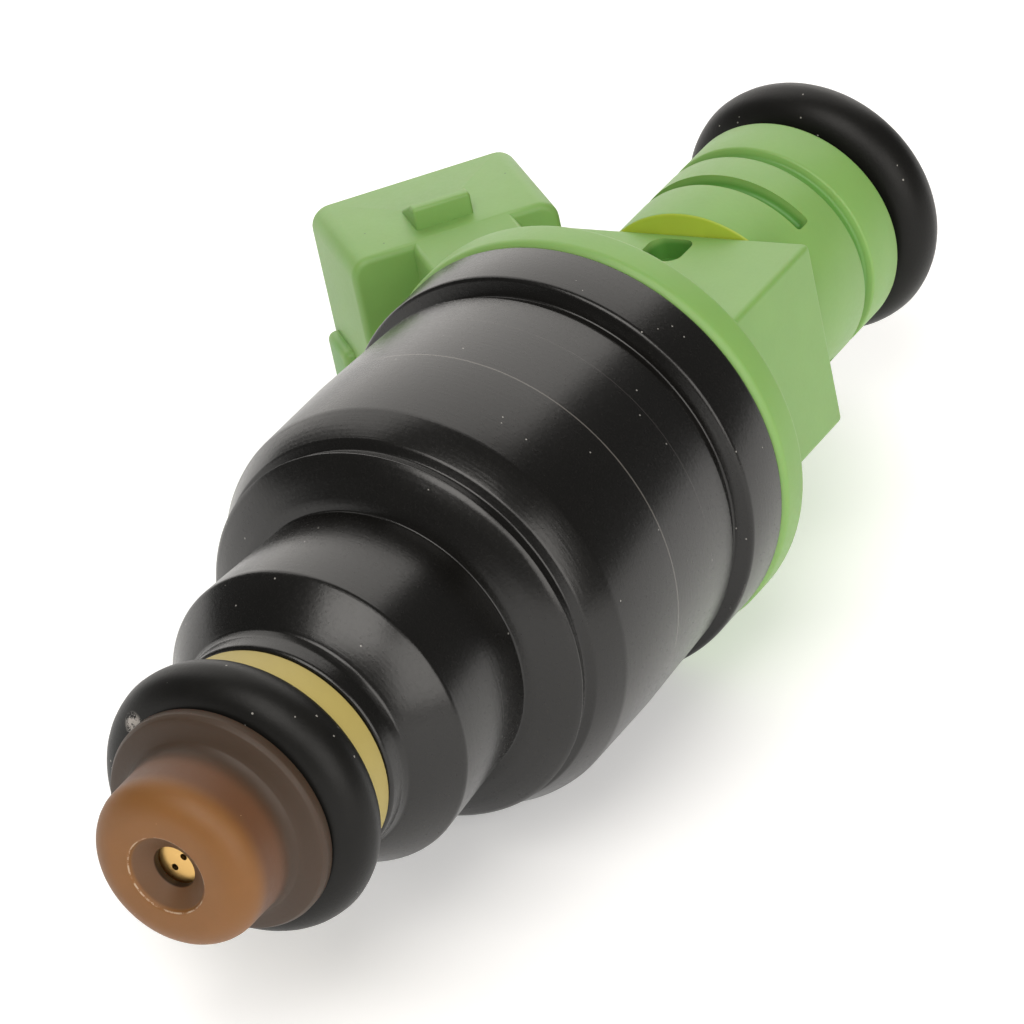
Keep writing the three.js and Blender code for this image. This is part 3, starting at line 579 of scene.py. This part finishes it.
# %% Housing
housing = turned("steel_housing", [
    (3.6, 5.95), (3.75, 6.1), (4.6, 6.1), (5.0, 6.25), (5.15, 6.5), (7.0, 8.08), (7.2, 8.2), (13.3, 7.85),
    (13.6, 7.8), (13.66, 8.1), (13.85, 8.5), (14.2, 9.2), (14.7, 10.1), (14.95, 10.36), (15.2, 10.05), (15.7, 10.05),
    (15.95, 10.52), (17.5, 11.27), (17.75, 11.33), (TOOL_PAUSES[0], 11.33), (29.5, 11.08), (29.65, 10.97),
    (29.7, 10.67), (30.35, 10.67), (30.6, 11.5), (30.75, 11.62), (33.85, 11.62), (34.0, 11.5), (34.0, 9.95),
    (16.4, 9.95), (16.4, 5.1), (14.6, 5.1), (14.6, 6.9), (7.95, 6.9), (7.95, 4.95), (3.6, 4.95),
], steps=180)
laid(rounded(housing, 0.12, angle=20), "valve_housing", BLACK_STEEL)

# %% [markdown]
# The nose: the valve body's tip, the gold plate that meters the fuel, the brown cap over it, the lower seal, and
# the pale washer behind it. The cap's front edge is a quarter circle, so its points come from an arc.

# %% Nose pieces
def arc(centre_x, centre_r, radius, start, end, steps):
    """Points on a circle in the turning plane, angles in degrees from the nozzle's direction towards outwards."""
    points = []
    for i in range(steps + 1):
        angle = math.radians(start + (end - start) * i / steps)
        points.append((centre_x - radius * math.cos(angle), centre_r + radius * math.sin(angle)))
    return points


cap = turned("nozzle_cap_skin", [
    (-6.35, 1.1), (-6.98, 2.0), (-7.1, 2.06), (-7.15, 2.14), *arc(-5.6, 2.95, 1.55, 0, 90, 10),
    (-3.7, 4.51), (-3.25, 4.58), (-2.95, 4.78), (-2.78, 5.1), (-2.68, 5.5), (-2.55, 5.8), (-2.3, 5.95),
    (-1.84, 5.95), (-1.84, 3.75), (-5.95, 3.75), (-5.95, 1.1),
])
laid(rounded(cap, 0.07), "nozzle_cap", BROWN_NYLON)

nose = turned("valve_nose", [
    (-5.5, 3.3), (-5.1, 3.7), (3.6, 3.7), (3.6, 4.9), (8.0, 4.9), (8.0, 6.85), (10.0, 6.85), (10.0, 5.85),
    (11.2, 5.85), (11.2, 6.85), (13.2, 6.85), (13.2, 3.5), (12.0, 3.5), (12.0, 1.98), (-3.4, 1.98), (-4.6, 0.6),
    (-5.5, 0.6),
], steps=96)
laid(rounded(nose, 0.05), "valve_body", BRIGHT_STEEL)

washer = turned("pale_washer", [(1.83, 3.75), (1.83, 6.0), (3.53, 6.0), (3.53, 3.75)])
laid(rounded(washer, 0.14), "spacer_washer", YELLOW_NYLON)

# %% [markdown]
# The metering plate is a thin disc whose two holes measure and aim the fuel. The disc is turned like the rest, and
# the holes are cut out of it with a drill, which is modelled once and copied to the other side of the middle.

# %% The metering plate
metering = turned("metering_plate", [(-5.9, 0), (-5.9, 2.92), (-5.82, 3.0), (-5.55, 3.0), (-5.55, 0)], steps=72)
SPRAY_RADIUS = 0.18
SPRAY_CIRCLE = 0.45
nothing_selected()
bpy.ops.mesh.primitive_cylinder_add(vertices=32, radius=SPRAY_RADIUS, depth=2, rotation=(0, math.pi / 2, 0))
drill = bpy.context.object
bpy.ops.object.transform_apply(location=True, rotation=True, scale=True)
drills = copies(drill, [
    Matrix.Translation((-5.7, SPRAY_CIRCLE * math.cos(around), SPRAY_CIRCLE * math.sin(around)))
    for around in (math.radians(135), math.radians(315))
])
combined(metering, drills, "DIFFERENCE")
laid(metering, "orifice_plate", BRASS)

# %% [markdown]
# An O-ring is moulded in two halves that meet on a fine line round its outside and inside. The section is a circle
# with that line raised on it. One ring is modelled, and the upper one is a copy with its own mesh.

# %% O-rings
RING_SECTION = 3.53
RING_BORE = 7.52
RING_MIDDLE = (RING_BORE + RING_SECTION) / 2
SEAL_SPACING = 60.65
FLASH = 0.018
section = []
for i in range(40):
    angle = 2 * math.pi * i / 40
    radius = RING_SECTION / 2 - FLASH + (FLASH if i in (10, 30) else 0)
    section.append((radius * math.cos(angle), RING_MIDDLE + radius * math.sin(angle)))
lower, upper = copies(turned("lower_seal", section), [Matrix(), Matrix.Translation((SEAL_SPACING, 0, 0))])
upper.name = "upper_seal"
laid(lower, "lower_o_ring", BLACK_RUBBER, smooth=60)
laid(upper, "upper_o_ring", BLACK_RUBBER, smooth=60)

# %% [markdown]
# The fuel inlet: a steel tube with a rim that keeps the upper seal on, and inside it a brass collar holding a
# moulded frame and its mesh. All are turned, and the frame's four ribs are one plate, copied round and joined to it.

# %% Inlet and filter
INLET_END = (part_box("inlet_core")[1].x - RING_CENTRE.x) / MILLIMETRE
INLET_RADIUS = 5.2
print("inlet ends at", round(INLET_END, 2), "from the lower O-ring")
inlet = turned("inlet_tube", [
    (24.15, 2.05), (24.15, 4.6), (33.0, 4.6), (33.0, 3.7), (62.515, 3.7), (62.515, INLET_RADIUS - 0.15),
    (62.66, INLET_RADIUS), (INLET_END - 0.35, INLET_RADIUS), (INLET_END, INLET_RADIUS - 0.35),
    (INLET_END, 3.35), (INLET_END - 0.5, 2.95), (46.0, 2.95), (46.0, 2.05),
], steps=120)
laid(rounded(inlet, 0.1), "inlet_core", BRIGHT_STEEL)

RING_END = (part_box("filter_collar")[1].x - RING_CENTRE.x) / MILLIMETRE
collar = turned("filter_ring", [(59.8, 2.5), (59.8, 2.9), (RING_END, 2.9), (RING_END, 2.5)], steps=96)
laid(rounded(collar, 0.08), "filter_collar", BRASS)

basket = turned("filter_basket", [(47, 0), (47, 2.1), (47.3, 2.45), (48.5, 2.45), (48.5, 0)], steps=72)
HEAD_END = RING_END - 0.4
head = turned("basket_head", [(57.8, 1.75), (57.8, 2.45), (HEAD_END, 2.45), (HEAD_END, 1.75)], steps=72)
rib = plate("basket_rib", [(48, 2.07), (58.3, 2.07), (58.3, 2.42), (48, 2.42)], 0.7)
ribs = copies(rib, [Matrix.Rotation(math.radians(45 + 90 * quarter), 4, "X") for quarter in range(4)])
combined(basket, [head, *ribs], "UNION")
laid(basket, "filter_frame", PALE_NYLON)

gauze = turned("filter_gauze", [(48.6, 1.8), (48.6, 1.95), (57.7, 1.95), (57.7, 1.8)], steps=72)
laid(gauze, "filter_mesh", WOVEN)

# %% [markdown]
# The socket leans towards the inlet, so it has directions of its own: out of its mouth, and across its height. A
# box drawn in those directions is turned into the injector's by one matrix.

# %% The socket's directions
TILT = math.radians(43)
MOUTH = Vector((45.6, 14.95, 0))
OUT = Vector((math.sin(TILT), math.cos(TILT), 0))
ACROSS = Vector((math.cos(TILT), -math.sin(TILT), 0))
WIDE = ACROSS.cross(OUT)
SOCKET = Matrix.Translation(MOUTH) @ Matrix((WIDE, ACROSS, OUT)).transposed().to_4x4()
SOCKET_SIZE = (17, 11.3)
SOCKET_DEPTH = 8
SOCKET_WALL = 1.3


def in_socket(out, across):
    """Where a point in the socket's own directions is, as x and y."""
    spot = MOUTH + OUT * out + ACROSS * across
    return spot.x, spot.y


def pick(piece, kind, test):
    """In edit mode, selects exactly the faces or edges that pass the test."""
    bpy.ops.mesh.select_mode(type=kind)
    bpy.ops.mesh.select_all(action="DESELECT")
    mesh = bmesh.from_edit_mesh(piece.data)
    picked = [item for item in (mesh.edges if kind == "EDGE" else mesh.faces) if test(item)]
    for item in picked:
        item.select_set(True)
    bmesh.update_edit_mesh(piece.data)
    return len(picked)


def upright(edge):
    return abs(edge.verts[0].co.z - edge.verts[1].co.z) > TOUCH


def rounded_box(name, size, low, high, corner):
    """A box with round corners seen from the mouth, from low to high along the socket."""
    nothing_selected()
    bpy.ops.mesh.primitive_cube_add(size=1, location=(0, 0, (low + high) / 2))
    box = bpy.context.object
    box.name = name
    box.scale = (*size, high - low)
    bpy.ops.object.transform_apply(location=True, rotation=True, scale=True)
    bpy.ops.object.mode_set(mode="EDIT")
    corners = pick(box, "EDGE", upright)
    bpy.ops.mesh.bevel(offset=corner, segments=8, affect="EDGES")
    bpy.ops.mesh.select_mode(type="VERT")
    bpy.ops.object.mode_set(mode="OBJECT")
    print(name, corners, "corners rounded,", len(box.data.polygons), "faces")
    box.matrix_world = SOCKET
    bpy.ops.object.transform_apply(location=True, rotation=True, scale=True)
    return box

# %% [markdown]
# The green moulding is the one piece that isn't round all over. It grows from a turned flange and neck. The block,
# the web, the socket, its lugs and its key are made one at a time with their own round edges, then joined, and the
# hollows are cut last, so that each cut goes through everything.

# %% Green moulding: flange, neck, block and web
moulding = turned("green_moulding", [
    (33.6, 3.0), (33.6, 9.85), (34.06, 9.85), (34.06, 11.45), (34.4, 11.75), (36.0, 11.75), (36.3, 11.45),
    (36.3, 5.0), (47.5, 5.0), (47.5, 6.4), (54.1, 6.4), (54.2, 5.9), (55.0, 5.9), (55.1, 6.4), (58.0, 6.4),
    (58.2, 6.2), (58.2, 3.0),
])
rounded(moulding, 0.14)

HALF = SOCKET_SIZE[1] / 2
block = plate("block", [
    (35.3, -7.5), (47.52, -7.5), (47.52, in_socket(-3, HALF)[1]), in_socket(-3, HALF - 0.8),
    in_socket(0.5 - SOCKET_DEPTH, -1.9), (35.3, 9.6),
], 10.5)
rounded(block, 0.95, 6)


def meets(x, across):
    """A line along the socket, this far across it, where it reaches x."""
    out = (x - MOUTH.x - across * ACROSS.x) / OUT.x
    return in_socket(out, across)


web = plate("web", [meets(35.3, 3.35), in_socket(-5, 3.35), in_socket(-5, -2.3), meets(35.3, -2.3)], 17.1)
rounded(web, 0.45, 4)
print("flange and neck, block and web", [len(piece.data.polygons) for piece in (moulding, block, web)], "faces")

# %% [markdown]
# The socket's shell is a box with round corners, drawn in the socket's own directions. A plug latches on two lugs,
# one on each side, so one is modelled and the other is a copy that faces the other way. The key is a small plate on
# the side towards the nozzle.

# %% Green moulding: socket, lugs and key
shell = rounded_box("socket_shell", [s + 0.2 for s in SOCKET_SIZE], -SOCKET_DEPTH, 0, 1.1)
rounded(shell, 0.4, 5)
lug = rounded(plate("lug", [(-6.6, 8.0), (-3.8, 8.0), (-3.4, 8.5), (-5.9, 9.8), (-6.6, 9.8)], 3.2), 0.18)
lugs = copies(lug, [
    Matrix.Translation(MOUTH) @ Matrix((OUT, facing, OUT.cross(facing))).transposed().to_4x4()
    for facing in (Vector((0, 0, 1)), Vector((0, 0, -1)))
])
KEY_TOP = -HALF - 0.7
KEY_FOOT = 0.5 - HALF
key = plate("key", [
    in_socket(-4, KEY_TOP), in_socket(-0.5, KEY_TOP), in_socket(-0.5, KEY_FOOT), in_socket(-4, KEY_FOOT),
], 3.4)
rounded(key, 0.45, 5)
combined(moulding, [block, web, shell, *lugs, key], "UNION")
print("joined", len(moulding.data.polygons), "faces")

# %% [markdown]
# The first cuts are the inside of the socket, the bore for the inlet tube, and a slit for each blade. A slit comes
# from the same function as the blade's outline, wider by a gap and longer at both ends, so the blade is sure to fit.

# %% Green moulding: cavity, bore and slits
cavity = rounded_box("cavity", [s - 2 * SOCKET_WALL for s in SOCKET_SIZE], SOCKET_WALL - SOCKET_DEPTH, 1, 0.95)
bore = turned("bore", [(32, 0), (32, 3.75), (60, 3.75), (60, 0)], steps=96)

BLADE_SPACING = 5
BLADE_Y = 7.6


def blade_points(gap):
    """A blade's outline: straight in the socket, one bend, then down beside the core."""
    half = 1.4 + gap
    foot = 30.0 if gap else 31.15
    tip = SOCKET_WALL - SOCKET_DEPTH + 0.1 if gap else -1.6

    def bend(y, across):
        return in_socket((y - MOUTH.y - across * ACROSS.y) / OUT.y, across)

    shoulder = [in_socket(tip, half), in_socket(tip, -half)]
    if not gap:
        shoulder = [in_socket(tip - 0.6, half), in_socket(tip, half - 0.6),
                    in_socket(tip, 0.6 - half), in_socket(tip - 0.6, -half)]
    return [(foot, BLADE_Y - half), bend(BLADE_Y - half, half), *shoulder,
            bend(BLADE_Y + half, -half), (foot, BLADE_Y + half)]


def each_side(distance):
    """Two places, this far to either side of the middle."""
    return [Matrix.Translation((0, 0, hand * distance)) for hand in (1, -1)]


SLIT_GAP = 0.25
SLIT_THICKNESS = 1.3
slits = copies(plate("slit", blade_points(SLIT_GAP), SLIT_THICKNESS), each_side(BLADE_SPACING / 2))
print("cavity, bore and", len(slits), "slits")

# %% [markdown]
# A small pocket with round corners is cut in each side of the block, and two slots for the retaining clip are cut in
# the neck. A slot is a short rectangle spun part of the way round, with its edges rounded.

# %% Green moulding: pockets and clip slots
pocket = plate("pocket", [(44.5, -1.15), (46.9, -1.15), (46.9, 1.4), (44.5, 1.4)], 2.4)
bpy.ops.object.mode_set(mode="EDIT")
pick(pocket, "EDGE", upright)
bpy.ops.mesh.bevel(offset=0.7, segments=6, affect="EDGES")
bpy.ops.mesh.select_mode(type="VERT")
bpy.ops.object.mode_set(mode="OBJECT")
POCKET_PLACE = 5.25
pockets = copies(pocket, each_side(POCKET_PLACE))

slot_start, slot_end = math.radians(39), math.radians(141)
slot_section = ((50.8, 5.65), (51.95, 5.65), (51.95, 8), (50.8, 8))
clip_slot = outline("clip_slot", [
    (x, radius * math.cos(slot_start), radius * math.sin(slot_start)) for x, radius in slot_section
])
bpy.ops.mesh.edge_face_add()
bpy.ops.mesh.spin(steps=40, angle=slot_start - slot_end, center=(0, 0, 0), axis=(1, 0, 0))
rounded(tidy_surface(clip_slot), 0.4, 4, angle=60)
slots = copies(clip_slot, [Matrix(), Matrix.Rotation(math.pi, 4, "X")])
for slot_piece in slots:
    across_slot = [v.co.z for v in slot_piece.data.vertices]
    print("clip slot from", round(min(across_slot), 2), "to", round(max(across_slot), 2), "across")

# %% [markdown]
# All the cutters are taken out of the joined moulding, and the result is checked: a closed solid has no open edges.

# %% Green moulding: the cuts
combined(moulding, [cavity, bore, *slits, *pockets, *slots], "DIFFERENCE")
checked = bmesh.new()
checked.from_mesh(moulding.data)
print("open edges", sum(not e.is_manifold for e in checked.edges), "volume", round(checked.calc_volume(), 1))
checked.free()
laid(moulding, "connector_moulding", GREEN_NYLON)

# %% [markdown]
# Each blade is stamped from strip, tinned, and has its tip eased so that the plug finds it. One is modelled and
# rounded a little along its edges, and the other is a copy with its own mesh.

# %% Terminal blades
blade = rounded(plate("blade", blade_points(0), 0.8), 0.1, 2)
for piece, node in zip(copies(blade, each_side(BLADE_SPACING / 2)), ("terminal_left", "terminal_right")):
    piece.name = "blade_" + node
    laid(piece, node, TINNED)

# %% [markdown]
# The pieces inside keep their solids, which are already the right shape, and take the finish of their material.

# %% Finishes for the hidden pieces
HIDDEN = {
    "valve_body_seal": BLACK_RUBBER, "valve_needle": BRIGHT_STEEL, "armature": BRIGHT_STEEL,
    "lift_stop_plate": BRIGHT_STEEL, "return_spring": SPRING_STEEL, "adjusting_sleeve": BRIGHT_STEEL,
    "coil_bobbin": PALE_NYLON, "coil_winding": COPPER, "coil_lead_left": COPPER, "coil_lead_right": COPPER,
    "coil_seal_lower": BLACK_RUBBER, "coil_seal_upper": BLACK_RUBBER, "cover_plate": BRIGHT_STEEL,
}
for node, finish in HIDDEN.items():
    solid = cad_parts[node]
    solid.data.materials.clear()
    solid.data.materials.append(finish)
print("hidden pieces", len(HIDDEN))
